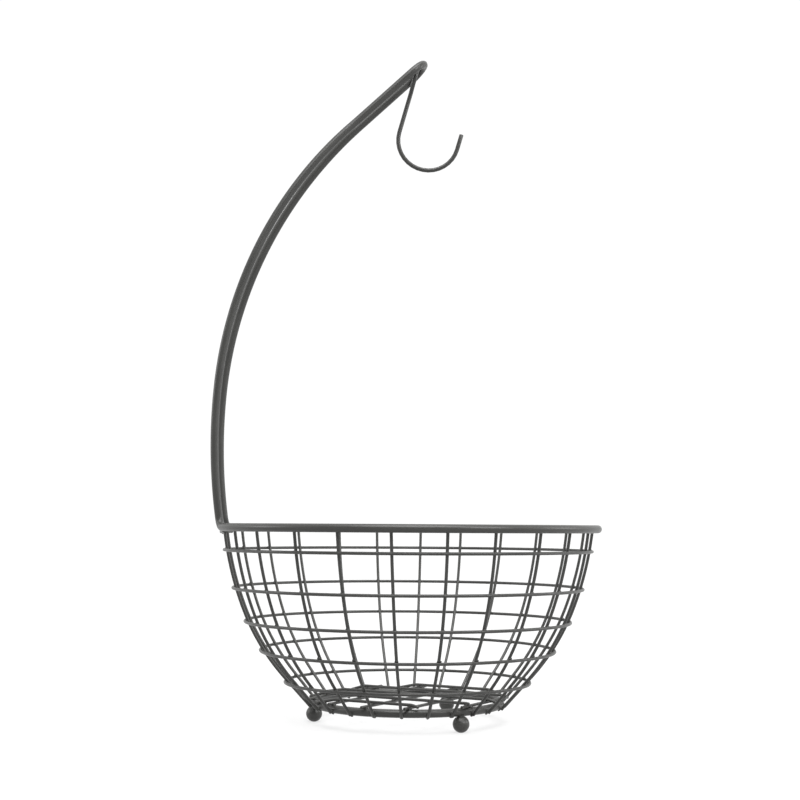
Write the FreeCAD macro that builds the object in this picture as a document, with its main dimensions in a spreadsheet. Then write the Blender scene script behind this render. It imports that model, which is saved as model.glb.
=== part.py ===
import FreeCAD, Part
import math
import os
import re
import Sketcher
from FreeCAD import Placement, Rotation, Vector

# Welded wire fruit basket with a bent mast that carries a fruit hook. Millimetres.
# The bowl's axis is Z, the table is Z = 0, and the mast stands on the -X side.

# Driving sizes
SIZES = {
    "rod": 5.5,                    # diameter of the rim, mast and base ring rod
    "wire": 2.0,                   # diameter of ribs, hoops and floor wires
    "hook_wire": 3.0,              # diameter of the hook's wire
    "weld_gap": 0.05,              # clearance between two wires that are welded together
    "rim_diameter": 280.0,         # outside diameter of the rim
    "rim_height": 139.0,           # centre of the rim rod above the table
    "rib_count": 24.0,
    "rib_top": 1.0,                # how far a rib runs past the rim's centre plane
    "rib_lean": 6.4,               # a rib's angle from vertical at the rim
    "rib_upper_bend": 229.0,       # radius of the rib's upper arc
    "rib_joint_depth": 58.5,       # where the upper arc meets the lower one, under the rim
    "rib_lower_bend": 157.0,       # radius of the rib's lower arc
    "rib_foot_angle": 42.2,        # a rib's angle from vertical at the base ring
    "rib_tail": 2.4,               # how far a rib ends under the base ring's centre
    "hoop_first_depth": 16.1,      # first hoop's centre under the rim's centre
    "hoop_last_rise": 14.67,       # last hoop's centre above the base ring's centre
    "hoop_2_share": 0.2874,        # how far down a hoop lies between the first and the last
    "hoop_3_share": 0.5398,
    "hoop_4_share": 0.7582,
    "foot_ball": 11.6,             # diameter of a ball foot
    "foot_saddle": 0.42,           # how deep the base ring beds into a ball foot
    "foot_count": 3.0,
    "floor_turn": -33.0,           # angle of the upper floor wires from the X axis
    "floor_edge": 9.7,             # from the base ring's centre line in to the outermost upper wire
    "floor_shift": 5.6,            # how far the lower wires lie off the bowl's axis
    "floor_end_gap": 0.9,          # clearance from a floor wire's end to the ribs
    "floor_bend": 8.0,             # radius of the bends in the upper floor wires
    "floor_tip_angle": 14.0,       # slope of an upper wire's end that only overhangs
    "floor_tip_steepest": 22.4,    # steepest slope of an end that comes down on the base ring
    "bridge_angle": 32.0,          # angle that the bridge wire spans at the mast
    "mast_foot_spacing": 55.2,     # between the two legs at the rim
    "mast_corner_radius": 6.6,     # radius where the rim turns up into a leg
    "mast_foot_run": 7.8,          # from the corner there to the leg's lower arc
    "mast_lean": 8.0,              # a leg's outward lean at the rim
    "mast_lower_bend": 403.0,      # radius of the leg's lower arc
    "mast_lower_lean": -5.0,       # lean where the lower arc meets the upper one
    "mast_upper_bend": 306.0,      # radius of the leg's upper arc
    "mast_splay_bend": 60.0,       # radius of the bend that makes the two legs parallel
    "mast_tip_lean": -46.8,        # lean of the parallel runs to the tip
    "mast_tip_run": 58.0,          # length of those runs
    "mast_tip_bend": 12.4,         # bend radius of the tip
    "hook_shank_lean": 15.7,       # the shank's angle from vertical
    "hook_shank_run": 30.2,        # straight length between the eye's neck and the bend
    "hook_bend": 22.5,             # radius of the hook
    "hook_tip_lean": 16.2,         # angle of the hook's open end from vertical
    "hook_tip_run": 11.8,          # straight length of the open end
    "hook_eye_radius": 8.8,        # radius of the eye that is welded between the legs
    "hook_neck_bend": 3.0,         # bend radius between shank and eye
    "hook_eye_turn": 300.0,        # angle that the eye turns through
    "hook_eye_reach": 5.55,        # where the shank's line meets the legs, past the tip bend's start
}

doc = FreeCAD.newDocument("fruit_basket")
sheet = doc.addObject("Spreadsheet::Sheet", "Sizes")
for row, (name, value) in enumerate(SIZES.items(), start=1):
    sheet.set(f"A{row}", name)
    sheet.set(f"B{row}", str(value))
    sheet.setAlias(f"B{row}", name)
doc.recompute()


def size(name):
    """The value of a cell, for forms that are worked out in code."""
    return float(sheet.get(name))


def cells(formula):
    """A formula with each size's name turned into a reference to its cell."""
    def cell(match):
        return f"Sizes.{match[0]}" if match[0] in SIZES else match[0]
    return re.sub(r"[a-z_0-9]+", cell, formula)


PARTS = []


def keep(item, label):
    """Register a finished sub-part under the name that its file gets."""
    item.Label = label
    PARTS.append(item)
    return item


def origin_plane(body, role):
    for feature in body.Origin.OriginFeatures:
        if feature.Role == role:
            return feature
    raise ValueError(role)


# The rib's profile: a lean, an upper arc, a lower arc and a straight foot. Its points are formulas
# of the sheet, because the hoops and the base ring lie against them.
RIM_RADIUS = "( rim_diameter / 2 - rod / 2 )"
RIB_RADIUS = f"( {RIM_RADIUS} - rod / 2 - wire / 2 - weld_gap )"
UPPER_R = f"( {RIB_RADIUS} - rib_upper_bend * cos( rib_lean ) )"
UPPER_Z = "( rim_height + rib_upper_bend * sin( rib_lean ) )"
JOINT_SIN = "( sin( rib_lean ) + rib_joint_depth / rib_upper_bend )"
JOINT_COS = f"sqrt( 1 - {JOINT_SIN} ^ 2 )"
LOWER_R = f"( {UPPER_R} + ( rib_upper_bend - rib_lower_bend ) * {JOINT_COS} )"
LOWER_Z = f"( {UPPER_Z} - ( rib_upper_bend - rib_lower_bend ) * {JOINT_SIN} )"
FOOT_R = f"( {LOWER_R} + rib_lower_bend * cos( rib_foot_angle ) )"
FOOT_Z = f"( {LOWER_Z} - rib_lower_bend * sin( rib_foot_angle ) )"
HOOP_OFFSET = "( wire + weld_gap )"
RING_HEIGHT = "( foot_ball - foot_saddle + rod / 2 )"
RING_OFFSET = "( 0 - rod / 2 - wire / 2 - weld_gap )"


def on_foot(height, offset):
    """Radius of a point beside the rib's straight foot, offset outwards."""
    return (f"( {FOOT_R} + ( {offset} + ( {height} - {FOOT_Z} ) * sin( rib_foot_angle ) )"
            f" / cos( rib_foot_angle ) )")


RING_RADIUS = on_foot(RING_HEIGHT, RING_OFFSET)
FLOOR_PITCH = f"( ( {RING_RADIUS} - floor_edge ) / 2 )"
LOWER_FLOOR = f"( {RING_HEIGHT} + rod / 2 + wire / 2 + weld_gap )"
FLOOR_REACH = f"( {on_foot(LOWER_FLOOR, '( 0 - wire / 2 )')} - floor_end_gap )"
# An upper wire's ends come down past the lower layer, where the ribs have closed in further
FLOOR_TIP_REACH = f"( {on_foot(f'( {LOWER_FLOOR} - wire )', '( 0 - wire / 2 )')} - floor_end_gap )"


def number(formula):
    """A formula's value, worked out with the same sizes as the cells hold."""
    scope = doc.getObject("Probe") or doc.addObject("App::FeaturePython", "Probe")
    if not hasattr(scope, "Result"):
        scope.addProperty("App::PropertyFloat", "Result")
    scope.setExpression("Result", cells(formula))
    scope.recompute()
    return scope.Result


def bind(item, path, formula):
    item.setExpression(path, cells(formula))


# Rim, mast and tip: one rod bent to shape, closed by butt welds at the front and at the tip
def ring_point(radius, azimuth, height):
    """A point on a circle, with its azimuth measured from the mast side towards +Y."""
    return Vector(-radius * math.cos(azimuth), radius * math.sin(azimuth), height)


def corner_arc(corner, into, out_of, radius):
    """The bend between a run that arrives along one direction and leaves along another."""
    turn = into.getAngle(out_of)
    setback = radius * math.tan(turn / 2)
    start = corner - into * setback
    end = corner + out_of * setback
    inward = (out_of - into).normalize()
    middle = corner + inward * (radius / math.cos(turn / 2) - radius)
    return start, end, Part.Arc(start, middle, end).toShape()


def frame_rod_shape():
    radius = size("rim_diameter") / 2 - size("rod") / 2
    height = size("rim_height")
    half_foot = size("mast_foot_spacing") / 2
    foot_bend = size("mast_corner_radius")
    splay_bend = size("mast_splay_bend")
    tip_bend = size("mast_tip_bend")
    lean = math.radians(size("mast_lean"))
    lower_lean = math.radians(size("mast_lower_lean"))
    tip_lean = math.radians(size("mast_tip_lean"))
    lower_bend = size("mast_lower_bend")
    upper_bend = size("mast_upper_bend")
    tip_run = size("mast_tip_run")

    # The leg in its own upright plane, as (along, up) from the corner at its foot
    start = Vector(-math.sin(lean), math.cos(lean)) * size("mast_foot_run")
    lower_centre = start + Vector(math.cos(lean), math.sin(lean)) * lower_bend
    joint = lower_centre - Vector(math.cos(lower_lean), math.sin(lower_lean)) * lower_bend
    upper_centre = joint + Vector(math.cos(lower_lean), math.sin(lower_lean)) * upper_bend
    bend_end = upper_centre - Vector(math.cos(tip_lean), math.sin(tip_lean)) * upper_bend
    onward = Vector(-math.sin(tip_lean), math.cos(tip_lean))

    def between(centre, bend, first, last):
        angle = (first + last) / 2
        return centre - Vector(math.cos(angle), math.sin(angle)) * bend

    # The legs close in plan until they are one tip bend from the middle, and then run parallel
    closing = 0.0
    for _ in range(30):
        splay = 2 * math.asin(math.sin(-tip_lean) * math.sin(closing / 2))
        splay_corner = bend_end + onward * splay_bend * math.tan(splay / 2)
        closing = math.asin((half_foot - tip_bend) / splay_corner.x)
    along = Vector(math.cos(closing), -math.sin(closing), 0)

    # The corner at the leg's foot lies on the rim's tangent
    setback = foot_bend
    for _ in range(30):
        reach = math.hypot(radius, setback)
        azimuth = math.asin(half_foot / reach) + math.atan(setback / radius)
        tangent = Vector(-math.sin(azimuth), -math.cos(azimuth), 0)
        rise = along * -math.sin(lean) + Vector(0, 0, math.cos(lean))
        setback = foot_bend * math.tan(tangent.getAngle(rise) / 2)
    corner = ring_point(reach, math.asin(half_foot / reach), height)

    def place(point):
        return corner + along * point.x + Vector(0, 0, point.y)

    arrive, leave, foot_arc = corner_arc(corner, tangent, rise, foot_bend)
    front = ring_point(radius, math.pi, height)
    quarter = ring_point(radius, (math.pi + azimuth) / 2, height)
    closing_way = along * onward.x + Vector(0, 0, onward.y)
    forward = Vector(onward.x, 0, onward.y)
    splayed, parallel, splay_arc = corner_arc(place(splay_corner), closing_way, forward, splay_bend)
    end = place(splay_corner) + forward * tip_run
    centre = Vector(end.x, 0, end.z)
    apex = centre + forward * tip_bend
    shoulder = centre + (forward + Vector(0, 1, 0)).normalize() * tip_bend

    path = Part.Wire([
        Part.Arc(front, quarter, arrive).toShape(),
        foot_arc,
        Part.LineSegment(leave, place(start)).toShape(),
        Part.Arc(place(start), place(between(lower_centre, lower_bend, lean, lower_lean)),
                 place(joint)).toShape(),
        Part.Arc(place(joint), place(between(upper_centre, upper_bend, lower_lean, tip_lean)),
                 place(bend_end)).toShape(),
        splay_arc,
        Part.LineSegment(parallel, end).toShape(),
        Part.Arc(end, shoulder, apex).toShape(),
    ])
    section = Part.Wire(Part.makeCircle(size("rod") / 2, front, Vector(0, 1, 0)))
    half = path.makePipeShell([section], True, False)
    other = half.mirror(Vector(0, 0, 0), Vector(0, 1, 0))
    return half.fuse(other).removeSplitter(), end, forward


rod_shape, tip_start, tip_forward = frame_rod_shape()
frame_rod = doc.addObject("Part::Feature", "frame_rod")
frame_rod.Shape = rod_shape
keep(frame_rod, "frame_rod")


# Ribs: each one its own wire, bent in an upright plane through the bowl's axis
def point_at(sketch, name, target, x, y):
    """Dimensions from the sketch's origin to a point, bound to formulas."""
    for axis, value in (("DistanceX", x), ("DistanceY", y)):
        sketch.addConstraint(Sketcher.Constraint(axis, *target, number(value)))
        sketch.renameConstraint(sketch.ConstraintCount - 1, f"{name}_{axis[-1].lower()}")
        bind(sketch, f"Constraints.{name}_{axis[-1].lower()}", value)


def dimension(sketch, name, kind, target, formula):
    value = number(formula)
    if kind == "Angle":
        value = math.radians(value)
    sketch.addConstraint(Sketcher.Constraint(kind, *target, value))
    sketch.renameConstraint(sketch.ConstraintCount - 1, name)
    bind(sketch, f"Constraints.{name}", formula + (" * 1deg" if kind == "Angle" else ""))


def rib(index):
    body = doc.addObject("PartDesign::Body", f"rib_{index:02d}")
    path = body.newObject("Sketcher::SketchObject", f"rib_path_{index:02d}")
    path.AttachmentSupport = [(origin_plane(body, "XZ_Plane"), "")]
    path.MapMode = "FlatFace"
    lean = math.radians(size("rib_lean"))
    foot = math.radians(size("rib_foot_angle"))
    top = Vector(number(RIB_RADIUS), size("rim_height"), 0)
    upper = Vector(number(UPPER_R), number(UPPER_Z), 0)
    lower = Vector(number(LOWER_R), number(LOWER_Z), 0)
    knee = Vector(number(FOOT_R), number(FOOT_Z), 0)
    joint = math.asin(number(JOINT_SIN))
    tail_z = number(RING_HEIGHT) - size("rib_tail")
    tail = knee + Vector(-math.tan(foot), -1, 0) * (knee.y - tail_z)
    stub = top + Vector(math.tan(lean), 1, 0) * size("rib_top")
    path.addGeometry(Part.LineSegment(stub, top), False)
    circle = Part.Circle(upper, Vector(0, 0, 1), size("rib_upper_bend"))
    path.addGeometry(Part.ArcOfCircle(circle, -joint, -lean), False)
    circle = Part.Circle(lower, Vector(0, 0, 1), size("rib_lower_bend"))
    path.addGeometry(Part.ArcOfCircle(circle, -foot, -joint), False)
    path.addGeometry(Part.LineSegment(knee, tail), False)
    # An arc's end (2) is its upper end here, because an arc runs anticlockwise
    path.addConstraint(Sketcher.Constraint("Tangent", 0, 2, 1, 2))
    path.addConstraint(Sketcher.Constraint("Tangent", 1, 1, 2, 2))
    path.addConstraint(Sketcher.Constraint("Tangent", 2, 1, 3, 1))
    point_at(path, "rim", (0, 2), RIB_RADIUS, "rim_height")
    dimension(path, "stub_top", "DistanceY", (0, 1), "( rim_height + rib_top )")
    dimension(path, "upper_bend", "Radius", (1,), "rib_upper_bend")
    dimension(path, "lower_bend", "Radius", (2,), "rib_lower_bend")
    dimension(path, "upper_centre", "DistanceX", (1, 3), UPPER_R)
    dimension(path, "joint_height", "DistanceY", (1, 1), "( rim_height - rib_joint_depth )")
    dimension(path, "knee_height", "DistanceY", (2, 1), FOOT_Z)
    dimension(path, "tail_height", "DistanceY", (3, 2), f"( {RING_HEIGHT} - rib_tail )")

    section = body.newObject("Sketcher::SketchObject", f"rib_section_{index:02d}")
    section.AttachmentSupport = [(origin_plane(body, "XY_Plane"), "")]
    section.MapMode = "FlatFace"
    section.AttachmentOffset = Placement(stub, Rotation(Vector(0, 1, 0), 1))
    bind(section, ".AttachmentOffset.Base.x", f"{RIB_RADIUS} + rib_top * tan( rib_lean )")
    bind(section, ".AttachmentOffset.Base.y", "0")
    bind(section, ".AttachmentOffset.Base.z", "rim_height + rib_top")
    bind(section, ".AttachmentOffset.Rotation.Angle", "rib_lean * 1deg")
    section.addGeometry(Part.Circle(Vector(), Vector(0, 0, 1), size("wire") / 2), False)
    section.addConstraint(Sketcher.Constraint("Coincident", 0, 3, -1, 1))
    dimension(section, "wire_radius", "Radius", (0,), "wire / 2")

    pipe = body.newObject("PartDesign::AdditivePipe", f"rib_pipe_{index:02d}")
    pipe.Profile = section
    pipe.Spine = (path, ["Edge1", "Edge2", "Edge3", "Edge4"])
    body.Tip = pipe
    body.Placement = Placement(Vector(), Rotation(Vector(0, 0, 1), 1))
    bind(body, ".Placement.Rotation.Angle", f"( {index} - 0.5 ) * 360deg / rib_count")
    keep(body, f"rib_wire_{index:02d}")


for index in range(1, int(size("rib_count")) + 1):
    rib(index)


# Hoops: rings welded to the outside of the ribs, each at its own depth
def hoop_height(index):
    first = "( rim_height - hoop_first_depth )"
    last = f"( {RING_HEIGHT} + hoop_last_rise )"
    between = f"( {first} - ( {first} - {last} ) * hoop_{index}_share )"
    return {1: first, 5: last}.get(index, between)


def hoop(index):
    height = hoop_height(index)
    depth = number(height)
    reach = size("wire") + size("weld_gap")
    joint = math.asin(number(JOINT_SIN))
    foot = math.radians(size("rib_foot_angle"))
    if depth > number(UPPER_Z) - (size("rib_upper_bend") + reach) * math.sin(joint):
        radius = (f"{UPPER_R} + sqrt( ( rib_upper_bend + {HOOP_OFFSET} ) ^ 2"
                  f" - ( {UPPER_Z} - {height} ) ^ 2 )")
    elif depth > number(LOWER_Z) - (size("rib_lower_bend") + reach) * math.sin(foot):
        radius = (f"{LOWER_R} + sqrt( ( rib_lower_bend + {HOOP_OFFSET} ) ^ 2"
                  f" - ( {LOWER_Z} - {height} ) ^ 2 )")
    else:
        radius = on_foot(height, HOOP_OFFSET)
    ring = doc.addObject("Part::Torus", f"hoop_{index}")
    bind(ring, "Radius1", radius)
    bind(ring, "Radius2", "wire / 2")
    bind(ring, ".Placement.Base.z", height)
    keep(ring, f"hoop_{index}")


for index in range(1, 6):
    hoop(index)


# Base ring: it sits inside the ribs' lower ends
def ring_body(name):
    ring = doc.addObject("Part::Torus", name)
    bind(ring, "Radius1", RING_RADIUS)
    bind(ring, "Radius2", "rod / 2")
    bind(ring, ".Placement.Base.z", RING_HEIGHT)
    return ring


keep(ring_body("base_ring"), "base_ring")


# Ball feet: each one is saddled to the base ring's round underside
def foot(index):
    ball = doc.addObject("Part::Sphere", f"foot_blank_{index}")
    bind(ball, "Radius", "foot_ball / 2")
    angle = f"( 180deg + ( {index} - 1 ) * 360deg / foot_count )"
    bind(ball, ".Placement.Base.x", f"{RING_RADIUS} * cos( {angle} )")
    bind(ball, ".Placement.Base.y", f"{RING_RADIUS} * sin( {angle} )")
    bind(ball, ".Placement.Base.z", "foot_ball / 2")
    seat = ring_body(f"foot_seat_{index}")
    bind(seat, "Radius2", "rod / 2 + weld_gap")
    saddle = doc.addObject("Part::Cut", f"ball_foot_{index}")
    saddle.Base = ball
    saddle.Tool = seat
    keep(saddle, f"ball_foot_{index}")


for index in range(1, int(size("foot_count")) + 1):
    foot(index)


# Floor: two layers of straight wires, the lower one resting on the base ring
def half_length(offset):
    return f"sqrt( {FLOOR_REACH} ^ 2 - ( abs( {offset} ) + wire / 2 ) ^ 2 )"


def lower_wire(index):
    offset = f"( ( {index} - 3 ) * {FLOOR_PITCH} - floor_shift )"
    rod = doc.addObject("Part::Cylinder", f"floor_lower_{index}")
    bind(rod, "Radius", "wire / 2")
    bind(rod, "Height", f"2 * {half_length(offset)}")
    lying = Rotation(Vector(1, 0, 0), -90)
    rod.Placement = Placement(Vector(), Rotation(Vector(0, 0, 1), size("floor_turn")) * lying)
    across = f"( {offset} * -1 )"
    start = f"( {half_length(offset)} * -1 )"
    bind(rod, ".Placement.Base.x", f"{across} * cos( floor_turn ) - {start} * sin( floor_turn )")
    bind(rod, ".Placement.Base.y", f"{across} * sin( floor_turn ) + {start} * cos( floor_turn )")
    bind(rod, ".Placement.Base.z", LOWER_FLOOR)
    keep(rod, f"floor_wire_lower_{index}")


for index in range(1, 6):
    lower_wire(index)


def crossings():
    """Where the lower wires cross under an upper one, along the upper one."""
    pitch = number(FLOOR_PITCH)
    return [-((index - 3) * pitch - size("floor_shift")) for index in range(1, 6)]


def bent_wire(points, bend, diameter):
    """A round wire along points in one plane or in space, with a bend at each inner point."""
    edges = []
    here = points[0]
    for before, corner, after in zip(points, points[1:], points[2:]):
        into = (corner - before).normalize()
        out_of = (after - corner).normalize()
        start, end, arc = corner_arc(corner, into, out_of, bend)
        edges.append(Part.LineSegment(here, start).toShape())
        edges.append(arc)
        here = end
    edges.append(Part.LineSegment(here, points[-1]).toShape())
    section = Part.Wire(Part.makeCircle(diameter / 2, points[0], points[1] - points[0]))
    return Part.Wire(edges).makePipeShell([section], True, False)


def upper_wire(index):
    """It lies on the lower wires, and its ends bend down to the base ring where there is room."""
    offset = (index - 3) * number(FLOOR_PITCH)
    reach = number(FLOOR_TIP_REACH)
    wire = size("wire")
    ring = number(RING_RADIUS)
    drop = wire + size("weld_gap")
    height = number(LOWER_FLOOR) + drop
    end = math.sqrt(reach ** 2 - (abs(offset) + wire / 2) ** 2)
    touch = math.sqrt(ring ** 2 - offset ** 2)
    ends = []
    for side in (-1, 1):
        under = [c * side for c in crossings()
                 if abs(offset) < math.sqrt(reach ** 2 - (abs(c) + wire / 2) ** 2)]
        last = max(c for c in under if c < end)
        corner = last + wire
        slope = math.atan2(drop, touch - corner)
        if not 0 < slope <= math.radians(size("floor_tip_steepest")):
            slope = math.radians(size("floor_tip_angle"))
        corner = max(min(corner, end - wire), last + wire / 3)
        low = height - (end - corner) * math.tan(slope)
        ends.append([Vector(side * end, offset, low), Vector(side * corner, offset, height)])
    points = [ends[0][0], ends[0][1], ends[1][1], ends[1][0]]
    item = doc.addObject("Part::Feature", f"floor_upper_{index}")
    item.Shape = bent_wire(points, size("floor_bend"), wire)
    item.Placement = Placement(Vector(), Rotation(Vector(0, 0, 1), size("floor_turn")))
    keep(item, f"floor_wire_upper_{index}")


for index in range(1, 6):
    upper_wire(index)


# Bridge wire: it closes the rim between the legs and holds the two ribs there
bridge = doc.addObject("Part::Torus", "bridge_blank")
BRIDGE_RADIUS = f"( {RIB_RADIUS} + wire + weld_gap )"
BRIDGE_DROP = f"sqrt( ( rod / 2 + wire / 2 + weld_gap ) ^ 2 - ( {RIM_RADIUS} - {BRIDGE_RADIUS} ) ^ 2 )"
bind(bridge, "Radius1", BRIDGE_RADIUS)
bind(bridge, "Radius2", "wire / 2")
bind(bridge, "Angle3", "bridge_angle * 1deg")
bind(bridge, ".Placement.Base.z", f"rim_height - {BRIDGE_DROP}")
bridge.Placement.Rotation = Rotation(Vector(0, 0, 1), 180 - size("bridge_angle") / 2)
bind(bridge, ".Placement.Rotation.Angle", "180deg - bridge_angle * 0.5deg")
keep(bridge, "bridge_wire")


# Hook: an open J in the mast's plane, hung from an eye that nests between the two legs
def hook_shape():
    lean = math.radians(size("hook_shank_lean"))
    bend = size("hook_bend")
    eye = size("hook_eye_radius")
    neck = size("hook_neck_bend")
    up = Vector(math.sin(lean), 0, math.cos(lean))
    forward = Vector(math.cos(lean), 0, -math.sin(lean))
    across = Vector(0, 1, 0)
    neck_rise = math.sqrt(eye ** 2 + 2 * eye * neck)

    # From the eye's centre down
    shank_top = up * -neck_rise
    shank_end = shank_top - up * size("hook_shank_run")
    centre = shank_end + forward * bend
    open_angle = math.radians(size("hook_tip_lean"))
    release = centre + Vector(math.cos(open_angle), 0, -math.sin(open_angle)) * bend
    tip = release + Vector(math.sin(open_angle), 0, math.cos(open_angle)) * size("hook_tip_run")
    bottom = centre + Vector(0, 0, -bend)

    def on_neck(angle):
        return shank_top - across * neck + (across * math.cos(angle) + up * math.sin(angle)) * neck

    def on_eye(angle):
        return (across * math.cos(angle) + up * math.sin(angle)) * eye

    neck_turn = math.atan2(neck_rise, neck)
    eye_start = neck_turn + math.pi
    eye_end = eye_start - math.radians(size("hook_eye_turn"))
    eye_mid = (eye_start + eye_end) / 2
    path = Part.Wire([
        Part.LineSegment(tip, release).toShape(),
        Part.Arc(release, bottom, shank_end).toShape(),
        Part.LineSegment(shank_end, shank_top).toShape(),
        Part.Arc(shank_top, on_neck(neck_turn / 2), on_neck(neck_turn)).toShape(),
        Part.Arc(on_neck(neck_turn), on_eye(eye_mid), on_eye(eye_end)).toShape(),
    ])
    section = Part.Wire(Part.makeCircle(size("hook_wire") / 2, tip, release - tip))
    return path.makePipeShell([section], True, False), up


hook_blank, shank_up = hook_shape()
meeting = Vector(tip_start.x, 0, tip_start.z) + tip_forward * size("hook_eye_reach")


def seat_hook(low, high):
    """How far the eye's centre lies under the legs, so that it clears them by the weld gap."""
    for _ in range(12):
        drop = (low + high) / 2
        trial = hook_blank.copy()
        trial.Placement = Placement(meeting - shank_up * drop, Rotation())
        if trial.distToShape(rod_shape)[0] > size("weld_gap"):
            high = drop
        else:
            low = drop
    return high


hook = doc.addObject("Part::Feature", "hook")
hook.Shape = hook_blank
hook_drop = seat_hook(0, 2 * size("hook_eye_radius"))
hook.Placement = Placement(meeting - shank_up * hook_drop, Rotation())
keep(hook, "hook")

doc.recompute()

# Nothing is written unless every object is sound
for item in doc.Objects:
    if "Invalid" in item.State or "Error" in item.State:
        raise RuntimeError(f"{item.Label} failed: {item.State}")
os.makedirs("parts", exist_ok=True)
for item in PARTS:
    shape = item.Shape
    if shape.isNull() or not shape.isValid() or len(shape.Solids) != 1:
        raise RuntimeError(f"{item.Label} is not one sound solid")
for item in PARTS:
    item.Shape.exportStep(f"parts/{item.Label}.step")
print(len(PARTS), "parts, hook drop", round(hook_drop, 3))
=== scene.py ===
# %% [markdown]
# # A wire fruit basket with a hook
#
# The real object is mild steel wire and rod, bent cold, welded at every crossing and then powder
# coated in charcoal. This notebook dresses a measured model of it. The model comes in first, as a
# frame that never moves, and every piece below is bent from a round section at the size and place
# that the frame gives.

# %% Load the frame
import math
import random

import bpy
from mathutils import Matrix, Vector


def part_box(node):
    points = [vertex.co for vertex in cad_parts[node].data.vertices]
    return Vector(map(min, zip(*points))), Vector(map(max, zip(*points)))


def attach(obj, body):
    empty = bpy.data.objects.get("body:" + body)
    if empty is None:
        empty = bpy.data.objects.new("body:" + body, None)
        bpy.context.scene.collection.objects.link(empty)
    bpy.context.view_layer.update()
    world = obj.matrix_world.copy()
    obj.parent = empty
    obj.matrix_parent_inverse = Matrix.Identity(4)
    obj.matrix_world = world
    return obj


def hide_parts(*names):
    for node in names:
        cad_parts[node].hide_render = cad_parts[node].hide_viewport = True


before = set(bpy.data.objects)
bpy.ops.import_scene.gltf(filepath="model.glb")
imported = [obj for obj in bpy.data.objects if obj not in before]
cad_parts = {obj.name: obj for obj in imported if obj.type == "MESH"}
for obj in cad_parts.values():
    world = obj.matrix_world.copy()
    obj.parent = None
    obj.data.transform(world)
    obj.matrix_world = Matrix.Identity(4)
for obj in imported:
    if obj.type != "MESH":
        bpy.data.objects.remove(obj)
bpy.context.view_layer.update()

# %% [markdown]
# ## The maker's sizes
#
# A wire basket is drawn with few numbers: two stock diameters, the rim, the depth of each hoop, and
# the bends of one rib and of the mast. Everything is written in millimetres, as a maker would, and
# turned to metres once. What the frame already holds, such as a hoop's radius or the height of the
# base ring, is read from it.

# %% Sizes
MM = 0.001
ROD = 5.5 * MM                  # rim, mast and base ring
WIRE = 2.0 * MM                 # ribs, hoops and floor
HOOK_WIRE = 3.0 * MM
WELD_GAP = 0.05 * MM            # the frame keeps welded wires this far apart
COAT = 0.09 * MM                # thickness of the powder coat, which is added all round a wire
BALL = 11.6 * MM
RIB_COUNT = 24
HOOPS = [f"hoop_{number}" for number in range(1, 6)]

RIM_RADIUS = (280.0 * MM - ROD) / 2
RIM_HEIGHT = 139.0 * MM


def ring_of(node):
    """Radius and height of a ring's centre line, from its box in the frame."""
    low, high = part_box(node)
    thickness = high.z - low.z
    return (high.y - low.y - thickness) / 2, (high.z + low.z) / 2


BASE_RADIUS, BASE_HEIGHT = ring_of("base_ring")
print("base ring, mm:", round(BASE_RADIUS / MM, 2), "at", round(BASE_HEIGHT / MM, 2))
for hoop in HOOPS:
    radius, height = ring_of(hoop)
    print(hoop, "mm:", round(radius / MM, 2), "at", round(height / MM, 2))

# %% [markdown]
# ## The camera
#
# The photograph was taken from the height of the rim, a little over a metre away, with the camera
# tilted up so that the whole mast is in the picture. That is why the rim is seen as a line while the
# floor of the bowl is seen from above. A long lens keeps the perspective mild.

# %% Camera
CAMERA_PLACE = Vector((-62.3, -1067.6, 140.4)) * MM
CAMERA_HEADING = 2.99           # degrees to the right of +Y
CAMERA_TILT = 4.94              # degrees above level
CAMERA_ROLL = 0.34
PICTURE_WIDTH = 800             # pixels
FOCAL_PIXELS = 1459.7
SENSOR = 36.0                   # mm across the picture

camera_data = bpy.data.cameras.new("camera")
camera_data.sensor_fit = "HORIZONTAL"
camera_data.sensor_width = SENSOR
camera_data.lens = SENSOR * FOCAL_PIXELS / PICTURE_WIDTH
camera_data.clip_start = 0.05
camera = bpy.data.objects.new("camera", camera_data)
bpy.context.scene.collection.objects.link(camera)
camera.matrix_world = (
    Matrix.Translation(CAMERA_PLACE)
    @ Matrix.Rotation(math.radians(-CAMERA_HEADING), 4, "Z")
    @ Matrix.Rotation(math.radians(90 + CAMERA_TILT), 4, "X")
    @ Matrix.Rotation(math.radians(CAMERA_ROLL), 4, "Z"))
bpy.context.scene.camera = camera
print("lens, mm:", round(camera_data.lens, 2))

# %% [markdown]
# ## Small helpers for materials
#
# Colours are picked as sRGB hex values, the way a paint chart gives them, and one function turns them
# to the linear values that the shader wants. A second one adds a node, sets it up and joins its
# inputs, so that a material reads from top to bottom.

# %% Colour and node helpers
def paint(hex_colour):
    """An sRGB hex colour as linear red, green, blue and alpha."""
    channels = [int(hex_colour[i:i + 2], 16) / 255 for i in (1, 3, 5)]
    linear = [c / 12.92 if c <= 0.04045 else ((c + 0.055) / 1.055) ** 2.4 for c in channels]
    return (*linear, 1.0)


def add_node(tree, kind, links=None, settings=None, values=None):
    """Adds a node, sets its properties and input values, and links its inputs."""
    made = tree.nodes.new(kind)
    for name, value in (settings or {}).items():
        setattr(made, name, value)
    for name, value in (values or {}).items():
        made.inputs[name].default_value = value
    for name, socket in (links or {}).items():
        tree.links.new(socket, made.inputs[name])
    return made


def new_material(name):
    """An empty material and its node tree."""
    material = bpy.data.materials.new(name)
    material.use_nodes = True
    material.node_tree.nodes.clear()
    return material, material.node_tree


print("white as the shader gets it:", paint("#ffffff"))

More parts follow.
